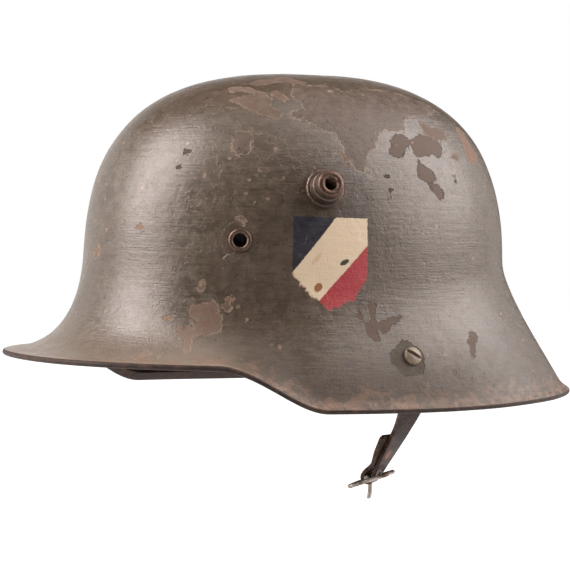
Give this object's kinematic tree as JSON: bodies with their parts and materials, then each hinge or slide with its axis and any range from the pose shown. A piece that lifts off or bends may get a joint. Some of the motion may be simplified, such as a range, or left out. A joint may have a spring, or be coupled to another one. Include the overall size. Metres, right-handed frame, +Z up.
{
  "type": "steel helmet",
  "caption": "Deep-brimmed pressed steel military helmet with side vent lugs, a padded leather liner and a buckled chin strap that hangs from a swinging ring.",
  "frame": {"origin": "on the vertical through the crown, in the plane of the neck guard's lower edge, at the middle of the opening for the head", "axes": "+Z up, -X towards the visor, -Y towards the wearer's left, where the strap with the buckle hangs"},
  "size_m": [0.317, 0.2354, 0.2214],
  "materials": {
    "shell_paint": "brushed grey-brown paint, satin, chipped to rust and bare steel",
    "lug_paint": "worn grey-brown paint over steel",
    "dark_iron": "aged, dull, light rust",
    "bare_steel": "aged bare steel",
    "pad_leather": "worn tan leather",
    "strap_leather": "dark, cracked and scuffed leather",
    "linen": "coarse undyed linen"
  },
  "bodies": {
    "helmet": {"steel_shell": "shell_paint", "left_vent_lug": "lug_paint", "right_vent_lug": "lug_paint", "vent_lug_washers": "dark_iron", "liner_pins": "lug_paint", "liner_pin_spacers": "dark_iron", "liner_pin_washers": "dark_iron", "liner_band": "dark_iron", "front_pad": "pad_leather", "left_pad": "pad_leather", "right_pad": "pad_leather", "pad_rivets": "dark_iron", "front_cushion": "linen", "left_cushion": "linen", "right_cushion": "linen", "strap_screws": "bare_steel", "strap_screw_nuts": "dark_iron", "left_strap_bracket": "dark_iron", "right_strap_bracket": "dark_iron"},
    "left_ring": {"left_strap_ring": "dark_iron"},
    "right_ring": {"right_strap_ring": "dark_iron"},
    "left_strap": {"chin_strap": "strap_leather"},
    "buckle": {"buckle_frame": "bare_steel"},
    "prong": {"buckle_prong": "bare_steel"}
  },
  "joints": [
    {"name": "left_ring_swing", "type": "hinge", "parent": "helmet", "child": "left_ring", "pos_m": [0.0099, -0.10497, 0.01721], "axis": [0.9996, 0.0296, 0], "range_deg": [-12, 65]},
    {"name": "right_ring_swing", "type": "hinge", "parent": "helmet", "child": "right_ring", "pos_m": [0.0099, 0.10497, 0.01721], "axis": [-0.9996, 0.0296, 0], "range_deg": [-12, 65]},
    {"name": "left_strap_swing", "type": "hinge", "parent": "left_ring", "child": "left_strap", "pos_m": [0.0099, -0.10497, 0.00621], "axis": [0.9996, 0.0296, 0], "range_deg": [-25, 45]},
    {"name": "buckle_tilt", "type": "hinge", "parent": "left_strap", "child": "buckle", "pos_m": [-0.00098, -0.08408, -0.03514], "axis": [0.6859, 0.7277, 0], "range_deg": [-10, 60]},
    {"name": "prong_swing", "type": "hinge", "parent": "buckle", "child": "prong", "pos_m": [-0.00098, -0.08408, -0.03514], "axis": [0.6859, 0.7277, 0], "range_deg": [-60, 44]}
  ]
}
